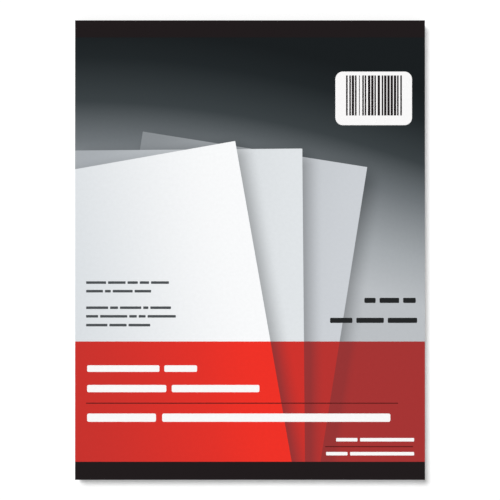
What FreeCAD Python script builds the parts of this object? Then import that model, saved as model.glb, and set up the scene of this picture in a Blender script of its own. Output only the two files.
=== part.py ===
import FreeCAD, Part
import os

from FreeCAD import Vector

# A writing pad bound along its head: tear-off sheets on a chipboard back, under a printed card cover.
# One card is folded round the head. Its front strip and its flap are glued down, and below a score
# on the front the same card is the cover, which lifts over the head.
# The pad lies on its back. X runs across it, Y from the foot to the head and Z up through the sheets.
# The origin is at the middle of the underside. All sizes are in millimetres.

# Sheets
sheet_width = 203.2
sheet_length = 254.0        # as torn off, below the perforation
stub_length = 12.7          # stays in the binding, above the perforation
sheet_count = 100
sheet_thickness = 0.09

# Perforation, cut through every sheet
slit_length = 1.2
slit_width = 0.12
slit_pitch = 2.0
slit_margin = 1.0           # least paper left between the last slit and the side

# Card of the cover and of the head wrap
card_thickness = 0.25
front_strip = 10.0          # from the head's outside to the score
back_flap = 16.0            # from the head's outside to the flap's end
score_width = 0.4
score_depth = 0.08

# Chipboard back
board_thickness = 0.9

# Wire staples through the stub and the board, hidden by the head wrap
staple_count = 3
staple_spacing = 70.0
staple_from_head = 5.5      # from the sheets' head to the wire's middle
staple_crown = 12.7         # over both legs
staple_clinch = 4.6         # each leg's turned-in end, from the leg's outside
wire_width = 0.6
wire_thickness = 0.4
wire_bend = 0.55            # outside radius of a corner
wire_clearance = 0.05       # round the wire, in the paper and the board

# Levels, from the underside up
board_top = board_thickness
sheets_top = board_top + sheet_count * sheet_thickness
cover_top = sheets_top + card_thickness

# Places along the pad, from the foot to the head
block_length = sheet_length + stub_length
pad_length = block_length + card_thickness
foot = -pad_length / 2
head = foot + block_length
head_outside = head + card_thickness
perforation = head - stub_length
score = head_outside - front_strip
flap_end = head_outside - back_flap

left = -sheet_width / 2
right = sheet_width / 2


def along_x(section):
    """A solid as wide as the sheets from a closed outline in the plane of Y and Z."""
    face = Part.Face(section)
    return face.extrude(Vector(sheet_width, 0, 0))


def section_line(*points):
    """Straight edges at the pad's left side through (y, z) points."""
    places = [Vector(left, y, z) for y, z in points]
    return [Part.makeLine(a, b) for a, b in zip(places, places[1:])]


def section_arc(start, middle, end):
    """An arc at the pad's left side through three (y, z) points."""
    places = [Vector(left, y, z) for y, z in (start, middle, end)]
    return Part.Arc(*places).toShape()


def block(low, high):
    """A plain block between two corners."""
    size = high - low
    return Part.makeBox(size.x, size.y, size.z, low)


def rounded_loop(low_x, high_x, low_z, high_z, radius, y):
    """A rectangle with rounded corners, in a plane of X and Z."""
    diagonal = radius * (1 - 0.5 ** 0.5)
    corners = [
        (low_x, low_z, 1, 1),
        (low_x, high_z, 1, -1),
        (high_x, high_z, -1, -1),
        (high_x, low_z, -1, 1),
    ]
    arcs = []
    for index, (x, z, inward_x, inward_z) in enumerate(corners):
        on_upright = Vector(x, y, z + inward_z * radius)
        on_level = Vector(x + inward_x * radius, y, z)
        middle = Vector(x + inward_x * diagonal, y, z + inward_z * diagonal)
        ends = (on_level, on_upright) if index % 2 == 0 else (on_upright, on_level)
        arcs.append((ends[0], middle, ends[1]))
    edges = []
    for index, (start, middle, end) in enumerate(arcs):
        following = arcs[(index + 1) % len(arcs)][0]
        edges.append(Part.Arc(start, middle, end).toShape())
        edges.append(Part.makeLine(end, following))
    return Part.Wire(edges)


def make_staple(middle_x, grown=0.0):
    """A closed staple: crown on the sheets, legs down through the stub and ends turned in under the board.
    Grown by a clearance, it is the space that the wire takes."""
    reach = staple_crown / 2
    low = card_thickness
    near = head - staple_from_head - wire_width / 2 - grown
    deep = wire_width + 2 * grown
    outside = rounded_loop(
        middle_x - reach - grown,
        middle_x + reach + grown,
        low - grown,
        sheets_top + grown,
        wire_bend + grown,
        near,
    )
    inside = rounded_loop(
        middle_x - reach + wire_thickness + grown,
        middle_x + reach - wire_thickness - grown,
        low + wire_thickness + grown,
        sheets_top - wire_thickness - grown,
        wire_bend - wire_thickness - grown,
        near,
    )
    ring = Part.Face(outside).cut(Part.Face(inside)).extrude(Vector(0, deep, 0))
    half_gap = reach - staple_clinch - grown
    gap = block(
        Vector(middle_x - half_gap, near - grown, low - 2 * grown - wire_thickness),
        Vector(middle_x + half_gap, near + deep + grown, low + wire_thickness + 2 * grown),
    )
    return ring.cut(gap)


def staple_places():
    """The middles of the staples, evenly spaced about the pad's middle."""
    first = -(staple_count - 1) * staple_spacing / 2
    return [first + index * staple_spacing for index in range(staple_count)]


def make_staples():
    return Part.makeCompound([make_staple(x) for x in staple_places()])


def wire_spaces():
    """The holes and grooves that the staples press into the sheets and the board."""
    return [make_staple(x, wire_clearance) for x in staple_places()]


def flat_face(low_x, high_x, low_y, high_y):
    """A rectangle on the underside of the sheets."""
    return Part.makePlane(high_x - low_x, high_y - low_y, Vector(low_x, low_y, board_top))


def slit_faces():
    """The slits of one perforated row, as far as they fit between the margins."""
    count = int((sheet_width - 2 * slit_margin - slit_length) / slit_pitch) + 1
    first = -(count - 1) * slit_pitch / 2
    low_y = perforation - slit_width / 2
    faces = []
    for index in range(count):
        low_x = first + index * slit_pitch - slit_length / 2
        faces.append(flat_face(low_x, low_x + slit_length, low_y, low_y + slit_width))
    return faces


def make_sheets():
    """All the sheets as one block, perforated below the stub and holed for the staples."""
    page = flat_face(left, right, foot, head).cut(slit_faces())
    stack = page.extrude(Vector(0, 0, sheets_top - board_top))
    return stack.cut(wire_spaces())


def make_back_board():
    """The chipboard, nipped thinner at the head so that the glued flap lies flush with its back."""
    section = section_line(
        (foot, 0),
        (flap_end, 0),
        (flap_end, card_thickness),
        (head, card_thickness),
        (head, board_top),
        (foot, board_top),
        (foot, 0),
    )
    return along_x(Part.Wire(section)).cut(wire_spaces())


def make_head_wrap():
    """The glued part of the card: a strip on the front, folded over the head and down onto the back."""
    bulge = card_thickness * 0.5 ** 0.5
    edges = section_line(
        (score, cover_top - score_depth),
        (score, sheets_top),
        (head, sheets_top),
        (head, card_thickness),
        (flap_end, card_thickness),
        (flap_end, 0),
        (head, 0),
    )
    edges.append(
        section_arc(
            (head, 0),
            (head + bulge, card_thickness - bulge),
            (head_outside, card_thickness),
        )
    )
    edges += section_line((head_outside, card_thickness), (head_outside, sheets_top))
    edges.append(
        section_arc(
            (head_outside, sheets_top),
            (head + bulge, sheets_top + bulge),
            (head, cover_top),
        )
    )
    edges += section_line(
        (head, cover_top),
        (score + score_width / 2, cover_top),
        (score, cover_top - score_depth),
    )
    return along_x(Part.Wire(edges))


def make_front_cover():
    """The panel that lifts, from the score to the foot. It turns about the score on its printed side."""
    section = section_line(
        (foot, sheets_top),
        (score, sheets_top),
        (score, cover_top - score_depth),
        (score - score_width / 2, cover_top),
        (foot, cover_top),
        (foot, sheets_top),
    )
    return along_x(Part.Wire(section))


pieces = {
    "sheets": make_sheets,
    "back_board": make_back_board,
    "head_wrap": make_head_wrap,
    "front_cover": make_front_cover,
    "staples": make_staples,
}

os.makedirs("parts", exist_ok=True)
for name, make in pieces.items():
    make().exportStep(f"parts/{name}.step")
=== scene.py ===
import math
import random

import bpy
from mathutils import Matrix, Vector


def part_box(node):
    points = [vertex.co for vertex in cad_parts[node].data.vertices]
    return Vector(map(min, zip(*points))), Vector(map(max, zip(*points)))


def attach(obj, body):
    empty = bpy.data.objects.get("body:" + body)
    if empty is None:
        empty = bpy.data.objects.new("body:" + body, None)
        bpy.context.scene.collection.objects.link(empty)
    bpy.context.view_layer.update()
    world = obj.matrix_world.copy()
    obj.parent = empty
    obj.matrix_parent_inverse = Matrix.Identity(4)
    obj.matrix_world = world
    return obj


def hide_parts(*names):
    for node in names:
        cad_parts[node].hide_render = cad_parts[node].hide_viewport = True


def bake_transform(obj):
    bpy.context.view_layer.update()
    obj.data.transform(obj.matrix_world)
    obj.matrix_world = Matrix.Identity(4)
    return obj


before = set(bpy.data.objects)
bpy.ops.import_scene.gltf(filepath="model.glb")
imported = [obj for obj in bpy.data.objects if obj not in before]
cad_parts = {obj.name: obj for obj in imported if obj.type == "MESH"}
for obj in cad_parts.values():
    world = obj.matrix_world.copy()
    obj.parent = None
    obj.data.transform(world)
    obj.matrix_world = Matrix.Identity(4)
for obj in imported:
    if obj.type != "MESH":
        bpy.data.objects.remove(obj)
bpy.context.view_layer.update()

# A head-bound writing pad: tear-off sheets on a chipboard back, under a printed card cover.
# The card is one sheet folded round the head, so it is one piece here, with a shallow groove at its
# score.
# Lengths in the dictionaries are in millimetres, and mm turns them to metres.

scene = bpy.context.scene
mm = 0.001

sheetsLow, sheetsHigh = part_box("sheets")
wrapLow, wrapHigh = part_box("head_wrap")
coverLow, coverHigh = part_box("front_cover")
coverWidth = coverHigh.x - coverLow.x
coverTop = coverHigh.z
coverFoot = coverLow.y
scoreLine = coverHigh.y


def hexToLinear(code):
    channels = [int(code[i:i + 2], 16) / 255 for i in (1, 3, 5)]
    linear = [c / 12.92 if c <= 0.04045 else ((c + 0.055) / 1.055) ** 2.4 for c in channels]
    return (*linear, 1.0)


# An input takes a number, a colour, a socket, or a node whose first socket in use is meant
def addNode(tree, kind, settings={}, inputs={}):
    node = tree.nodes.new(kind)
    for name, value in settings.items():
        if name == "stops":
            elements = node.color_ramp.elements
            while len(elements) < len(value):
                elements.new(1.0)
            for element, (place, code) in zip(elements, value):
                element.position = place
                element.color = hexToLinear(code)
        else:
            setattr(node, name, value)
    for key, value in inputs.items():
        socket = node.inputs[key]
        if isinstance(key, str):
            socket = next(s for s in node.inputs if s.name == key and not s.is_unavailable)
        if isinstance(value, bpy.types.Node):
            value = next(s for s in value.outputs if not s.is_unavailable)
        if isinstance(value, bpy.types.NodeSocket):
            tree.links.new(value, socket)
        else:
            socket.default_value = value
    return node


def newMaterial(name):
    material = bpy.data.materials.new(name)
    material.use_nodes = True
    material.node_tree.nodes.clear()
    return material, material.node_tree


# The shader, with its even values on its own sockets and the relief's depth in millimetres
def finishMaterial(tree, finish, inputs, relief=None, depth=0.0):
    if relief:
        bump = addNode(tree, "ShaderNodeBump", {}, {"Distance": depth * mm, "Height": relief})
        inputs = {**inputs, "Normal": bump}
    shader = addNode(tree, "ShaderNodeBsdfPrincipled", {}, {**finish, **inputs})
    addNode(tree, "ShaderNodeOutputMaterial", {}, {"Surface": shader})


# 1 inside a rectangle with rounded corners and 0 outside, with an edge as soft as blur.
# The radius is at least half of blur, and the third axis never counts.
def boxMask(tree, place, low, high, radius=0.3, blur=0.15, interpolation="LINEAR"):
    middle = [(a + b) / 2 * mm for a, b in zip(low, high)] + [0]
    inner = [((b - a) / 2 - radius) * mm for a, b in zip(low, high)] + [1]
    fromMiddle = addNode(tree, "ShaderNodeVectorMath", {"operation": "SUBTRACT"}, {0: place, 1: middle})
    mirrored = addNode(tree, "ShaderNodeVectorMath", {"operation": "ABSOLUTE"}, {0: fromMiddle})
    beyond = addNode(tree, "ShaderNodeVectorMath", {"operation": "SUBTRACT"}, {0: mirrored, 1: inner})
    outside = addNode(tree, "ShaderNodeVectorMath", {"operation": "MAXIMUM"}, {0: beyond, 1: (0, 0, 0)})
    distance = addNode(tree, "ShaderNodeVectorMath", {"operation": "LENGTH"}, {0: outside})
    return addNode(
        tree,
        "ShaderNodeMapRange",
        {"interpolation_type": interpolation},
        {
            "Value": distance,
            "From Min": (radius + blur / 2) * mm,
            "From Max": (radius - blur / 2) * mm,
        },
    )


# How a stuff varies from 0 to 1 over its surface, in grains about size millimetres across
def addGrain(tree, place, size, detail, stretch=(1, 1, 1)):
    stretched = addNode(tree, "ShaderNodeMapping", {}, {"Vector": place, "Scale": stretch})
    return addNode(
        tree,
        "ShaderNodeTexNoise",
        {},
        {"Vector": stretched, "Scale": 1 / (size * mm), "Detail": detail, "Roughness": 0.55},
    )


# The print on the outside of the card. Places count from the foot's left corner, on the flat card.
# The picture is a plain fan of sheets, and the words are plain bars.
coverPrint = {
    "past": 20.0,               # how far the wide fields run past the card's sides
    "crispCorner": 0.1,         # of the fields that look square
    "stripHigh": 10.5,
    "bandHigh": 80.35,
    "backdrop": [
        (0.10, "#bdc1c5"),
        (0.27, "#a6abaf"),
        (0.50, "#6e7478"),
        (0.65, "#373e41"),
        (0.82, "#181f22"),
        (0.93, "#0c1316"),
    ],
    "backdropFrom": 121.0,      # its lowest and highest tone at the left side
    "backdropTo": 273.0,
    "backdropSag": 37.0,        # how much lower its tones lie at the right side
    "fanPivot": (86.0, -40.0),
    "fanLow": (-84.0, -20.0),   # a sheet's corners from the pivot
    "fanHigh": (48.0, 232.0),
    "fan": [
        {"tilt": -9.0, "left": "#8b9094", "right": "#cfd3d8"},
        {"tilt": 0.5, "left": "#a9aeb3", "right": "#e4e8eb"},
        {"tilt": 10.0, "left": "#dbe0e4", "right": "#fdfeff"},
    ],
    "fanShadow": "#14181a",
    "fanShadowCover": 0.55,
    "fanShadowSoft": 16.0,
    "fanShadowShift": (4.0, -3.0),
    # The band's red by the lightness of what lies under it
    "band": [
        (0.45, "#983030"),
        (0.53, "#a7302f"),
        (0.75, "#ca2e28"),
        (0.93, "#e52d23"),
        (0.985, "#f22d20"),
    ],
    "black": "#181012",
    "ruleInk": "#5e1210",
    "rules": [
        ((6.4, 44.2), (187.6, 44.8)),
        ((145.2, 19.0), (196.3, 19.6)),
    ],
    "barGap": 0.75,             # of a bar's height, as is its corner
    "barCorner": 0.22,
    # By ink, the lines of bars: where each starts, how high it is, and how long its bars are
    "words": {
        "#fdfcfc": [
            ((7.0, 62.7), 3.8, [42.0, 19.0]),
            ((7.0, 50.9), 4.2, [46.0, 50.9]),
            ((7.0, 33.7), 4.8, [40.0, 132.5]),
            ((151.6, 22.3), 2.0, [12.4, 31.4]),
            ((145.8, 14.2), 2.0, [12.4, 37.2]),
        ],
        "#4a4e51": [
            ((6.4, 113.8), 1.5, [11.6, 10.2, 6.0, 5.4, 10.4]),
            ((6.4, 108.8), 1.5, [9.8, 3.4, 11.6, 9.6]),
            ((6.4, 99.2), 1.5, [12.8, 4.6, 12.4, 3.0, 12.0]),
            ((6.4, 94.2), 1.5, [7.0, 15.8, 4.4, 4.0, 16.4]),
            ((6.4, 89.1), 1.5, [12.4, 10.0, 12.6]),
        ],
        "#1d1f20": [
            ((168.0, 102.7), 3.0, [6.6, 11.4, 7.4]),
            ((148.1, 91.1), 3.0, [13.0, 16.0, 17.1]),
        ],
    },
    "label": ((151.2, 206.0), (195.7, 237.1)),
    "labelCorner": 4.4,
    "labelWhite": "#fdfcfc",
    "stripeStart": (157.4, 211.6),
    "stripeHeight": 23.3,
    "stripeStep": 0.47,         # the least width of a stripe, as coarse as it needs to show
    "stripeSteps": 69,          # one more than a multiple of four, so that it ends with a stripe
    "stripeFill": 0.6,          # the share of the chance steps that has ink
    # Ink lies a little unevenly on the coating, which shows in its tone and its gloss
    "cloud": {"size": 2.0, "detail": 3.0},
    "tone": (0.96, 1.03),
    "roughness": (0.3, 0.42),
    # The card's fibres show through the coating, drawn coarser than they are
    "fibre": {"size": 0.7, "detail": 3.0},
    "fibreDepth": 0.012,
    "finish": {"IOR": 1.5, "Specular IOR Level": 0.3},
}


# The backdrop of the picture, whose dark at the head comes down in a curve towards the right
def addBackdrop(tree, axes):
    sideways = addNode(
        tree, "ShaderNodeMath", {"operation": "DIVIDE"}, {0: axes.outputs["X"], 1: coverWidth}
    )
    bow = addNode(tree, "ShaderNodeMath", {"operation": "POWER"}, {0: sideways, 1: 2.0})
    level = addNode(
        tree,
        "ShaderNodeMath",
        {"operation": "MULTIPLY_ADD"},
        {0: bow, 1: coverPrint["backdropSag"] * mm, 2: axes.outputs["Y"]},
    )
    along = addNode(
        tree,
        "ShaderNodeMapRange",
        {},
        {
            "Value": level,
            "From Min": coverPrint["backdropFrom"] * mm,
            "From Max": coverPrint["backdropTo"] * mm,
        },
    )
    return addNode(tree, "ShaderNodeValToRGB", {"stops": coverPrint["backdrop"]}, {"Fac": along})


# One sheet of the fan, with the soft shadow that it throws on what lies under it
def addFanSheet(tree, place, picture, page):
    low, high = coverPrint["fanLow"], coverPrint["fanHigh"]
    shift, soft = coverPrint["fanShadowShift"], coverPrint["fanShadowSoft"]
    turned = addNode(
        tree,
        "ShaderNodeMapping",
        {"vector_type": "TEXTURE"},
        {
            "Vector": place,
            "Location": [c * mm for c in coverPrint["fanPivot"]] + [0],
            "Rotation": (0, 0, math.radians(page["tilt"])),
        },
    )
    shadowLow = [a + b for a, b in zip(low, shift)]
    shadowHigh = [a + b for a, b in zip(high, shift)]
    shadow = boxMask(tree, turned, shadowLow, shadowHigh, soft / 2, soft, "SMOOTHSTEP")
    cover = addNode(
        tree,
        "ShaderNodeMath",
        {"operation": "MULTIPLY"},
        {0: shadow, 1: coverPrint["fanShadowCover"]},
    )
    picture = addNode(
        tree,
        "ShaderNodeMix",
        {"data_type": "RGBA"},
        {"Factor": cover, "A": picture, "B": hexToLinear(coverPrint["fanShadow"])},
    )
    turnedAxes = addNode(tree, "ShaderNodeSeparateXYZ", {}, {0: turned})
    across = addNode(
        tree,
        "ShaderNodeMapRange",
        {"interpolation_type": "SMOOTHSTEP"},
        {"Value": turnedAxes.outputs["X"], "From Min": low[0] * mm, "From Max": high[0] * mm},
    )
    tone = addNode(
        tree,
        "ShaderNodeMix",
        {"data_type": "RGBA"},
        {"Factor": across, "A": hexToLinear(page["left"]), "B": hexToLinear(page["right"])},
    )
    sheet = boxMask(tree, turned, low, high)
    return addNode(
        tree, "ShaderNodeMix", {"data_type": "RGBA"}, {"Factor": sheet, "A": picture, "B": tone}
    )


# The inks over the picture in the order that they are laid: band, strips, rules, words and label
def addInks(tree, place, picture):
    # The band is a clear ink: bright on the white sheets and deep on the grey ones
    lightness = addNode(tree, "ShaderNodeRGBToBW", {}, {"Color": picture})
    red = addNode(tree, "ShaderNodeValToRGB", {"stops": coverPrint["band"]}, {"Fac": lightness})

    past, crisp = coverPrint["past"], coverPrint["crispCorner"]
    width = coverWidth / mm
    score = (scoreLine - coverFoot) / mm
    band = [((-past, -past), (width + past, coverPrint["bandHigh"]), crisp)]
    strips = [
        ((-past, -past), (width + past, coverPrint["stripHigh"]), crisp),
        ((-past, score), (width + past, score + width), crisp),
    ]
    rules = [(low, high, crisp) for low, high in coverPrint["rules"]]
    inks = [
        (red, band),
        (hexToLinear(coverPrint["black"]), strips),
        (hexToLinear(coverPrint["ruleInk"]), rules),
    ]
    for code, lines in coverPrint["words"].items():
        bars = []
        for (x, y), height, lengths in lines:
            for length in lengths:
                bars.append(((x, y), (x + length, y + height), height * coverPrint["barCorner"]))
                x += length + height * coverPrint["barGap"]
        inks.append((hexToLinear(code), bars))
    label = [(*coverPrint["label"], coverPrint["labelCorner"])]
    inks.append((hexToLinear(coverPrint["labelWhite"]), label))

    for ink, boxes in inks:
        mask = None
        for box in boxes:
            shape = boxMask(tree, place, *box)
            if mask:
                shape = addNode(tree, "ShaderNodeMath", {"operation": "MAXIMUM"}, {0: mask, 1: shape})
            mask = shape
        picture = addNode(
            tree, "ShaderNodeMix", {"data_type": "RGBA"}, {"Factor": mask, "A": picture, "B": ink}
        )
    return picture


# Stripes one to three steps wide, which stand for no number. Of each four steps, the first has
# ink, the third has none and chance settles the other two.
def addStripes(tree, place, axes, picture):
    startX, startY = coverPrint["stripeStart"]
    endX = startX + coverPrint["stripeSteps"] * coverPrint["stripeStep"]
    endY = startY + coverPrint["stripeHeight"]
    step = addNode(
        tree,
        "ShaderNodeMapRange",
        {"clamp": False},
        {
            "Value": axes.outputs["X"],
            "From Min": startX * mm,
            "From Max": endX * mm,
            "To Max": coverPrint["stripeSteps"],
        },
    )
    whole = addNode(tree, "ShaderNodeMath", {"operation": "FLOOR"}, {0: step})
    chance = addNode(tree, "ShaderNodeTexWhiteNoise", {"noise_dimensions": "1D"}, {"W": whole})
    quarter = addNode(tree, "ShaderNodeMath", {"operation": "MULTIPLY"}, {0: whole, 1: math.pi / 2})
    turn = addNode(tree, "ShaderNodeMath", {"operation": "COSINE"}, {0: quarter})
    share = addNode(tree, "ShaderNodeMath", {"operation": "SUBTRACT"}, {0: chance, 1: turn})
    inked = addNode(
        tree, "ShaderNodeMath", {"operation": "LESS_THAN"}, {0: share, 1: coverPrint["stripeFill"]}
    )
    field = boxMask(tree, place, (startX, startY), (endX, endY), coverPrint["crispCorner"])
    stripes = addNode(tree, "ShaderNodeMath", {"operation": "MULTIPLY"}, {0: inked, 1: field})
    return addNode(
        tree,
        "ShaderNodeMix",
        {"data_type": "RGBA"},
        {"Factor": stripes, "A": picture, "B": hexToLinear(coverPrint["black"])},
    )


# Clay-coated card, offset printed: the coating gives a low, even sheen that the ink lies flat in
def makePrintedCard():
    material, tree = newMaterial("clayCoatedCardPrinted")
    place = addNode(tree, "ShaderNodeUVMap", {"uv_map": "flatCard"})
    axes = addNode(tree, "ShaderNodeSeparateXYZ", {}, {0: place})
    picture = addBackdrop(tree, axes)
    for page in coverPrint["fan"]:
        picture = addFanSheet(tree, place, picture, page)
    picture = addInks(tree, place, picture)
    picture = addStripes(tree, place, axes, picture)

    clouds = addGrain(tree, place, **coverPrint["cloud"])
    darker, lighter = coverPrint["tone"]
    uneven = addNode(
        tree, "ShaderNodeMapRange", {}, {"Value": clouds, "To Min": darker, "To Max": lighter}
    )
    colour = addNode(
        tree, "ShaderNodeVectorMath", {"operation": "MULTIPLY"}, {0: picture, 1: uneven}
    )
    smooth, dull = coverPrint["roughness"]
    rough = addNode(
        tree, "ShaderNodeMapRange", {}, {"Value": clouds, "To Min": smooth, "To Max": dull}
    )
    fibres = addGrain(tree, place, **coverPrint["fibre"])
    inputs = {"Base Color": colour, "Roughness": rough}
    finishMaterial(tree, coverPrint["finish"], inputs, fibres, coverPrint["fibreDepth"])
    return material


# The inside of the same card, uncoated: chalky, with the dark lines that guide writing
cardInside = {
    "tones": [(0.3, "#e9e6e1"), (0.7, "#f1efeb")],
    "cloud": {"size": 3.0, "detail": 3.0},
    "line": "#3c4043",
    "lineStep": 8.7,
    "lineWidth": 0.8,           # bold, so that it shows through a sheet
    "margin": 6.0,
    "lowest": 8.0,
    "highest": 248.0,
    "fibre": {"size": 0.5, "detail": 4.0},
    "fibreDepth": 0.03,
    "finish": {"IOR": 1.5, "Specular IOR Level": 0.25, "Roughness": 0.85},
}


def makeCardInside():
    material, tree = newMaterial("uncoatedCardInside")
    place = addNode(tree, "ShaderNodeUVMap", {"uv_map": "flatCard"})
    axes = addNode(tree, "ShaderNodeSeparateXYZ", {}, {0: place})
    steps = addNode(
        tree,
        "ShaderNodeMath",
        {"operation": "DIVIDE"},
        {0: axes.outputs["Y"], 1: cardInside["lineStep"] * mm},
    )
    part = addNode(tree, "ShaderNodeMath", {"operation": "FRACT"}, {0: steps})
    inkShare = cardInside["lineWidth"] / cardInside["lineStep"]
    line = addNode(tree, "ShaderNodeMath", {"operation": "LESS_THAN"}, {0: part, 1: inkShare})
    low = (cardInside["margin"], cardInside["lowest"])
    high = (coverWidth / mm - cardInside["margin"], cardInside["highest"])
    field = boxMask(tree, place, low, high, coverPrint["crispCorner"])
    lines = addNode(tree, "ShaderNodeMath", {"operation": "MULTIPLY"}, {0: line, 1: field})
    clouds = addGrain(tree, place, **cardInside["cloud"])
    bare = addNode(tree, "ShaderNodeValToRGB", {"stops": cardInside["tones"]}, {"Fac": clouds})
    colour = addNode(
        tree,
        "ShaderNodeMix",
        {"data_type": "RGBA"},
        {"Factor": lines, "A": bare, "B": hexToLinear(cardInside["line"])},
    )
    fibres = addGrain(tree, place, **cardInside["fibre"])
    inputs = {"Base Color": colour}
    finishMaterial(tree, cardInside["finish"], inputs, fibres, cardInside["fibreDepth"])
    return material


# The card's guillotined edge: bare fibre between the coating and the inside
cardEdge = {
    "tones": [(0.3, "#c9c5bf"), (0.7, "#e8e5e0")],
    "layer": {"size": 0.5, "detail": 3.0},
    "layerDepth": 0.03,
    "finish": {"IOR": 1.5, "Specular IOR Level": 0.2, "Roughness": 0.9},
}


def makeCardEdge():
    material, tree = newMaterial("guillotinedCardEdge")
    place = addNode(tree, "ShaderNodeTexCoord").outputs["Object"]
    layers = addGrain(tree, place, **cardEdge["layer"])
    colour = addNode(tree, "ShaderNodeValToRGB", {"stops": cardEdge["tones"]}, {"Fac": layers})
    inputs = {"Base Color": colour}
    finishMaterial(tree, cardEdge["finish"], inputs, layers, cardEdge["layerDepth"])
    return material


# Bond paper, uncoated: bright and chalky, with a faint cloudiness, and fine lines along a cut block
# that are greyed with painted shade between the sheets
bondPaper = {
    "tones": [(0.3, "#f2f3f4"), (0.7, "#f7f8f8")],
    "cloud": {"size": 2.5, "detail": 4.0},
    "fibre": {"size": 0.5, "detail": 4.0},
    # The lines along the block's edges, drawn about four sheets deep so that they show: painted shade
    # between the sheets, in a tone that also differs at random
    "edgeShadeTones": [(0.35, "#d4d6d8"), (0.6, "#f7f8f8")],
    "edgeLine": {"size": 0.35, "detail": 3.0, "stretch": (0.02, 0.02, 1.0)},
    "reliefDepth": 0.03,
    "flatFrom": 0.5,            # a face is a sheet's own side where its normal rises by this much
    "finish": {"IOR": 1.5, "Specular IOR Level": 0.2, "Roughness": 0.88},
}


def makeBondPaper():
    material, tree = newMaterial("bondPaperUncoated")
    place = addNode(tree, "ShaderNodeTexCoord").outputs["Object"]
    clouds = addGrain(tree, place, **bondPaper["cloud"])
    side = addNode(tree, "ShaderNodeValToRGB", {"stops": bondPaper["tones"]}, {"Fac": clouds})
    lines = addGrain(tree, place, **bondPaper["edgeLine"])
    # The block's cut edges take darker tones than the flat sides: painted shade between the sheets
    edgeWithShade = addNode(tree, "ShaderNodeValToRGB", {"stops": bondPaper["edgeShadeTones"]}, {"Fac": lines})
    normal = addNode(tree, "ShaderNodeNewGeometry").outputs["True Normal"]
    facing = addNode(tree, "ShaderNodeSeparateXYZ", {}, {0: normal})
    rise = addNode(tree, "ShaderNodeMath", {"operation": "ABSOLUTE"}, {0: facing.outputs["Z"]})
    flat = addNode(
        tree, "ShaderNodeMath", {"operation": "GREATER_THAN"}, {0: rise, 1: bondPaper["flatFrom"]}
    )
    colour = addNode(
        tree, "ShaderNodeMix", {"data_type": "RGBA"}, {"Factor": flat, "A": edgeWithShade, "B": side}
    )
    fibres = addGrain(tree, place, **bondPaper["fibre"])
    relief = addNode(
        tree, "ShaderNodeMix", {"data_type": "FLOAT"}, {"Factor": flat, "A": lines, "B": fibres}
    )
    inputs = {"Base Color": colour}
    finishMaterial(tree, bondPaper["finish"], inputs, relief, bondPaper["reliefDepth"])
    return material


# Chipboard pressed from waste paper: matt grey-brown, with long fibres and specks of old print
chipboard = {
    "tones": [(0.35, "#a69f93"), (0.65, "#b3aca0")],
    "cloud": {"size": 9.0, "detail": 5.0},
    # Fibres of about 0.6 by 4 mm, lying along the board and drawn coarser than they are
    "fibre": {"size": 0.6, "detail": 4.0, "stretch": (1.0, 0.16, 1.0)},
    "fibreDepth": 0.06,
    # A strand's colour, and the height of the fibres at which it starts to show and is full
    "strands": [("#8a8378", 0.54, 0.68), ("#c9c2b6", 0.46, 0.32)],
    "strandCover": 0.8,
    # Specks of old print and of unmilled white paper, and how far apart they lie
    "specks": [("#4e4a45", 3.2), ("#ded9cf", 5.44)],
    "speckSize": (-0.1, 0.22),  # a share of that distance, and none at all below 0
    "finish": {"IOR": 1.5, "Specular IOR Level": 0.2, "Roughness": 0.92},
}


def makeChipboard():
    material, tree = newMaterial("chipboardPressed")
    place = addNode(tree, "ShaderNodeTexCoord").outputs["Object"]
    clouds = addGrain(tree, place, **chipboard["cloud"])
    colour = addNode(tree, "ShaderNodeValToRGB", {"stops": chipboard["tones"]}, {"Fac": clouds})
    fibres = addGrain(tree, place, **chipboard["fibre"])
    for code, start, full in chipboard["strands"]:
        strands = addNode(
            tree,
            "ShaderNodeMapRange",
            {},
            {
                "Value": fibres,
                "From Min": start,
                "From Max": full,
                "To Max": chipboard["strandCover"],
            },
        )
        colour = addNode(
            tree,
            "ShaderNodeMix",
            {"data_type": "RGBA"},
            {"Factor": strands, "A": colour, "B": hexToLinear(code)},
        )
    least, most = chipboard["speckSize"]
    for code, spacing in chipboard["specks"]:
        spots = addNode(
            tree, "ShaderNodeTexVoronoi", {}, {"Vector": place, "Scale": 1 / (spacing * mm)}
        )
        size = addNode(
            tree, "ShaderNodeMapRange", {}, {"Value": fibres, "To Min": least, "To Max": most}
        )
        speck = addNode(tree, "ShaderNodeMath", {"operation": "LESS_THAN"}, {0: spots, 1: size})
        colour = addNode(
            tree,
            "ShaderNodeMix",
            {"data_type": "RGBA"},
            {"Factor": speck, "A": colour, "B": hexToLinear(code)},
        )
    inputs = {"Base Color": colour}
    finishMaterial(tree, chipboard["finish"], inputs, fibres, chipboard["fibreDepth"])
    return material


# Staple wire, drawn and galvanised: a soft metal gleam with faint marks along it
stapleWire = {
    "tones": [(0.3, "#b4b8bc"), (0.7, "#cdd0d3")],
    "mark": {"size": 0.15, "detail": 2.0, "stretch": (0.1, 1.0, 1.0)},
    "markDepth": 0.01,
    "roughness": (0.28, 0.42),
    "finish": {"Metallic": 1.0},
}


def makeStapleWire():
    material, tree = newMaterial("galvanisedWireDrawn")
    place = addNode(tree, "ShaderNodeTexCoord").outputs["Object"]
    marks = addGrain(tree, place, **stapleWire["mark"])
    colour = addNode(tree, "ShaderNodeValToRGB", {"stops": stapleWire["tones"]}, {"Fac": marks})
    smooth, dull = stapleWire["roughness"]
    rough = addNode(
        tree, "ShaderNodeMapRange", {}, {"Value": marks, "To Min": smooth, "To Max": dull}
    )
    inputs = {"Base Color": colour, "Roughness": rough}
    finishMaterial(tree, stapleWire["finish"], inputs, marks, stapleWire["markDepth"])
    return material


def newPiece(name, vertices, faces, materials):
    mesh = bpy.data.meshes.new(name)
    mesh.from_pydata(vertices, [], faces)
    for material in materials:
        mesh.materials.append(material)
    piece = bpy.data.objects.new(name, mesh)
    scene.collection.objects.link(piece)
    return piece


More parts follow.
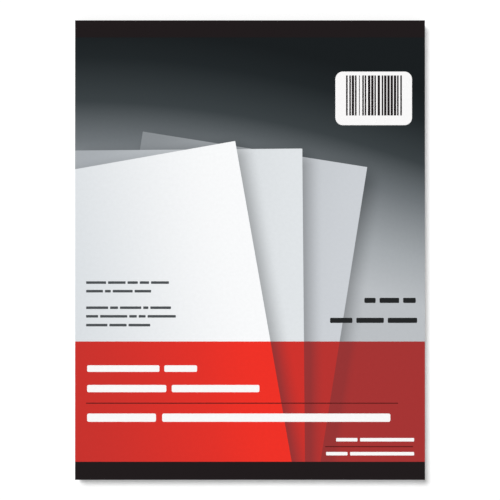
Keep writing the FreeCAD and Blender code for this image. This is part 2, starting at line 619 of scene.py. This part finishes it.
# The card, from the foot up the front, over the head and down to the flap on the back
card = {
    "thickness": 0.25,
    "gap": 0.01,                # kept clear of the paper and the board inside it
    "columns": 28,
    "panelStep": 8.0,
    "scoreRows": [0.6, 0.45, 0.3, 0.2, 0.1, 0.0],
    "scoreHalf": 0.2,
    "scoreDepth": 0.08,
    "stripRows": [0.35, 0.7],   # shares of the way from the score to the head
    "bendSteps": 6,
    "flapRows": [0.5, 1.0],     # shares of the way from the head to the flap's end
    "footLift": 0.35,           # the cover doesn't lie quite flat at its free edge
    "liftPower": 3,             # it rises late, near the foot
    "middleLift": 0.5,          # a share of the corners' lift
    "ripple": 0.05,
    "rippleAcross": 5.1,        # radians from the middle to a side
    "rippleAlong": 4.3,         # radians from the score to the foot
    "sharpFrom": 40.0,          # degrees
}

bend = card["thickness"] * mm
bendZone = card["scoreRows"][0] * mm
headInside = wrapHigh.y - bend


# The outside of the card in rows along it: each row's y and z, and the way out from it
def cardSection():
    rows = []
    panelEnd = scoreLine - bendZone
    panelRows = round((scoreLine - coverFoot) / (card["panelStep"] * mm))
    for index in range(panelRows):
        rows.append((coverFoot + (panelEnd - coverFoot) * index / panelRows, coverTop, 0, 1))
    # The same rows on either side of the score, closer together towards it
    offsets = [-v for v in card["scoreRows"]] + card["scoreRows"][-2::-1]
    for offset in offsets:
        dip = max(0, 1 - abs(offset) / card["scoreHalf"]) * card["scoreDepth"] * mm
        rows.append((scoreLine + offset * mm, coverTop - dip, 0, 1))
    stripStart = scoreLine + bendZone
    for share in card["stripRows"]:
        rows.append((stripStart + (headInside - stripStart) * share, coverTop, 0, 1))

    def addBend(startAngle, middleZ):
        for index in range(card["bendSteps"] + 1):
            angle = startAngle - math.pi / 2 * index / card["bendSteps"]
            out = (math.cos(angle), math.sin(angle))
            rows.append((headInside + bend * out[0], middleZ + bend * out[1], *out))

    addBend(math.pi / 2, coverTop - bend)
    rows.append((headInside + bend, coverTop / 2, 1, 0))
    addBend(0.0, bend)
    for share in card["flapRows"]:
        rows.append((headInside + (wrapLow.y - headInside) * share, 0, 0, -1))
    return rows


def makeCard():
    rows = cardSection()
    depth = bend - card["gap"] * mm
    columns = card["columns"]
    vertices, travelled = [], []
    run = 0.0
    for row, (y, z, outY, outZ) in enumerate(rows):
        if row:
            run += math.dist((y, z), rows[row - 1][:2])
        travelled.append(run)
        free = max(0, (scoreLine - y) / (scoreLine - coverFoot))
        for side in (0, depth):
            for column in range(columns + 1):
                across = column / columns * 2 - 1
                bowl = card["middleLift"] + (1 - card["middleLift"]) * across ** 2
                wave = math.sin(across * card["rippleAcross"] + free * card["rippleAlong"])
                lift = card["footLift"] * free ** card["liftPower"] * bowl
                lift += card["ripple"] * free * (1 + wave)
                x = across * coverWidth / 2
                vertices.append((x, y - outY * side, z - outZ * side + lift * mm))

    # Each face has the slot of its material, and its corners' rows and columns on the flat card
    wide = columns + 1
    printed, inside, cut = range(3)
    faces, slots, flat = [], [], []

    def outer(row, column):
        return row * 2 * wide + column

    def inner(row, column):
        return outer(row, column) + wide

    def addFace(corners, slot, spots):
        faces.append(corners)
        slots.append(slot)
        flat.append(spots)

    last = len(rows) - 1
    for row in range(last):
        for column in range(columns):
            near, far = column, column + 1
            spots = [(row, near), (row, far), (row + 1, far), (row + 1, near)]
            addFace([outer(*s) for s in spots], printed, spots)
            spots = spots[::-1]
            addFace([inner(*s) for s in spots], inside, spots)
        for column, turn in ((0, 1), (columns, -1)):
            a, b = (row, column), (row + 1, column)
            corners = [outer(*a), outer(*b), inner(*b), inner(*a)]
            addFace(corners[::turn], cut, [a, b, b, a][::turn])
    for row, turn in ((0, -1), (last, 1)):
        for column in range(columns):
            a, b = (row, column), (row, column + 1)
            corners = [outer(*a), outer(*b), inner(*b), inner(*a)]
            addFace(corners[::turn], cut, [a, b, b, a][::turn])

    materials = [makePrintedCard(), makeCardInside(), makeCardEdge()]
    piece = newPiece("cover_card", vertices, faces, materials)
    mesh = piece.data
    layer = mesh.uv_layers.new(name="flatCard")
    for face, slot, spots in zip(mesh.polygons, slots, flat):
        face.material_index = slot
        for loop, (row, column) in zip(face.loop_indices, spots):
            layer.data[loop].uv = (column / columns * coverWidth, travelled[row])
    mesh.shade_smooth()
    mesh.set_sharp_from_angle(angle=math.radians(card["sharpFrom"]))
    return piece


coverCard = makeCard()
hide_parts("front_cover", "head_wrap")
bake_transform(coverCard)
print("card made:", len(coverCard.data.polygons), "faces")


# The sheets as one block: each sheet's edge is a fine ridge round it, and the slits go through it
block = {
    "count": 100,
    "groove": 0.015,            # between two sheets' edges
    "shuffle": 0.035,           # how far a sheet's cut edge stands off its neighbours'
    "drift": 0.05,              # how far a run of sheets does
    "driftSheets": 9,
    "seed": 11,
    "headInset": 0.1,           # kept clear of the card round the head
    "stub": 12.7,
    "slitLength": 1.2,
    "slitWidth": 0.12,
    "slitPitch": 2.0,
    "slitMargin": 1.0,
}


def makeSheets():
    chance = random.Random(block["seed"])
    low, high = sheetsLow, sheetsHigh
    tear = high.y - block["stub"] * mm
    slitHalf = block["slitWidth"] / 2 * mm
    vertices, faces = [], []

    # Eight places round the block, of which two on each side are at the ends of the slits' row
    def addRing(z, shift, inward=0.0):
        left, right = low.x + shift + inward, high.x + shift - inward
        foot, head = low.y + shift + inward, high.y - block["headInset"] * mm + shift
        below, above = tear - slitHalf, tear + slitHalf
        places = [(left, foot), (right, foot), (right, below), (right, above)]
        places += [(right, head), (left, head), (left, above), (left, below)]
        vertices.extend((x, y, z) for x, y in places)
        return list(range(len(vertices) - len(places), len(vertices)))

    shifts = []
    for index in range(block["count"]):
        drift = block["drift"] * math.sin(index / block["driftSheets"])
        shifts.append((drift + chance.uniform(-1, 1) * block["shuffle"]) * mm)
    thickness = (high.z - low.z) / block["count"]
    rings = [addRing(low.z, shifts[0])]
    for index, shift in enumerate(shifts):
        rings.append(addRing(low.z + (index + 0.5) * thickness, shift))
        if index < block["count"] - 1:
            between = (shift + shifts[index + 1]) / 2
            rings.append(addRing(low.z + (index + 1) * thickness, between, block["groove"] * mm))
    rings.append(addRing(high.z, shifts[-1]))
    for lower, upper in zip(rings, rings[1:]):
        for a in range(len(lower)):
            b = (a + 1) % len(lower)
            faces.append([lower[a], lower[b], upper[b], upper[a]])

    # The slits' four corners, at the underside and at the top of the block
    span = (high.x - low.x) / mm - 2 * block["slitMargin"] - block["slitLength"]
    slitCount = int(span / block["slitPitch"]) + 1
    reach = block["slitLength"] / 2 * mm
    slits = []
    for level in (low.z, high.z):
        slits.append([])
        for index in range(slitCount):
            middle = (index - (slitCount - 1) / 2) * block["slitPitch"] * mm
            corners = [(middle - reach, -slitHalf), (middle + reach, -slitHalf)]
            corners += [(x, -y) for x, y in reversed(corners)]
            vertices.extend((x, tear + y, level) for x, y in corners)
            slits[-1].append(list(range(len(vertices) - len(corners), len(vertices))))
    for lower, upper in zip(*slits):
        for a in range(len(lower)):
            b = (a + 1) % len(lower)
            faces.append([lower[b], lower[a], upper[a], upper[b]])

    # Each flat side is a face on either side of the slits' row, and the bridges between the slits
    for ring, row, turn in ((rings[0], slits[0], -1), (rings[-1], slits[1], 1)):
        below = [corner for slit in reversed(row) for corner in (slit[1], slit[0])]
        above = [corner for slit in row for corner in (slit[3], slit[2])]
        faces.append((ring[:3] + below + [ring[7]])[::turn])
        faces.append((ring[4:7] + above + [ring[3]])[::turn])
        ends = [(ring[7], ring[6])] + [pair for s in row for pair in ((s[0], s[3]), (s[1], s[2]))]
        ends.append((ring[2], ring[3]))
        for (a, d), (b, c) in zip(ends[::2], ends[1::2]):
            faces.append([a, b, c, d][::turn])
    return newPiece("tear_off_sheets", vertices, faces, [makeBondPaper()])


sheets = makeSheets()
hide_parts("sheets")
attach(sheets, "pad")
print("sheets made:", len(sheets.data.polygons), "faces")

for name, material in (("back_board", makeChipboard()), ("staples", makeStapleWire())):
    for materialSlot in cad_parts[name].material_slots:
        materialSlot.material = material
print("board and staples dressed")


# A plain white floor, a soft sun from the upper left and an even sky
stage = {
    "floorHalf": 60.0,          # metres, so that its far edge stays out of a low view
    "floorColour": "#ffffff",
    "floorDrop": 0.05,
    "floorGlow": 0.08,          # only as seen, so that it clears to white away from the shadow
    "floorFinish": {"Roughness": 1.0, "Specular IOR Level": 0.0},
    "skyColour": "#ffffff",
    "skyStrength": 0.3,
    "sunStrength": 2.45,
    "sunSoftness": 22.0,        # degrees
    "sunFrom": (-0.31, 0.42, 1.0),
}


def makeFloor():
    material, tree = newMaterial("paperBackdrop")
    path = addNode(tree, "ShaderNodeLightPath")
    seen = path.outputs["Is Camera Ray"]
    for ray in ("Is Glossy Ray", "Is Transmission Ray"):
        seen = addNode(
            tree, "ShaderNodeMath", {"operation": "MAXIMUM"}, {0: seen, 1: path.outputs[ray]}
        )
    glow = addNode(
        tree, "ShaderNodeMath", {"operation": "MULTIPLY"}, {0: seen, 1: stage["floorGlow"]}
    )
    colour = hexToLinear(stage["floorColour"])
    inputs = {"Base Color": colour, "Emission Color": colour, "Emission Strength": glow}
    finishMaterial(tree, stage["floorFinish"], inputs)
    reach = stage["floorHalf"]
    z = -stage["floorDrop"] * mm
    corners = [(-reach, -reach, z), (reach, -reach, z), (reach, reach, z), (-reach, reach, z)]
    floor = newPiece("floor", corners, [[0, 1, 2, 3]], [material])


def makeLight():
    sun = bpy.data.lights.new("sun", "SUN")
    sun.energy = stage["sunStrength"]
    sun.angle = math.radians(stage["sunSoftness"])
    lamp = bpy.data.objects.new("sun", sun)
    lamp.rotation_euler = Vector(stage["sunFrom"]).to_track_quat("Z", "Y").to_euler()
    lamp.visible_glossy = False         # its wide glare would veil the black ink
    scene.collection.objects.link(lamp)

    world = bpy.data.worlds.new("sky")
    world.use_nodes = True
    world.node_tree.nodes.clear()
    sky = {"Color": hexToLinear(stage["skyColour"]), "Strength": stage["skyStrength"]}
    light = addNode(world.node_tree, "ShaderNodeBackground", {}, sky)
    addNode(world.node_tree, "ShaderNodeOutputWorld", {}, {"Surface": light})
    scene.world = world
    scene.view_settings.view_transform = "Standard"


makeFloor()
makeLight()


# The camera looks straight down on the cover, with the head at the top of the picture
cameraSetup = {
    "lens": 100.0,
    "sensor": 36.0,
    "imageWidth": 500.0,        # pixels
    "coverWidth": 349.8,        # pixels, as in the photograph
}


def makeCamera():
    data = bpy.data.cameras.new("camera")
    data.lens = cameraSetup["lens"]
    data.sensor_width = cameraSetup["sensor"]
    seenWidth = coverWidth * cameraSetup["imageWidth"] / cameraSetup["coverWidth"]
    distance = seenWidth * cameraSetup["lens"] / cameraSetup["sensor"]
    camera = bpy.data.objects.new("camera", data)
    camera.location = (0, 0, coverTop + distance)
    scene.collection.objects.link(camera)
    scene.camera = camera


makeCamera()
print("stage and camera set")
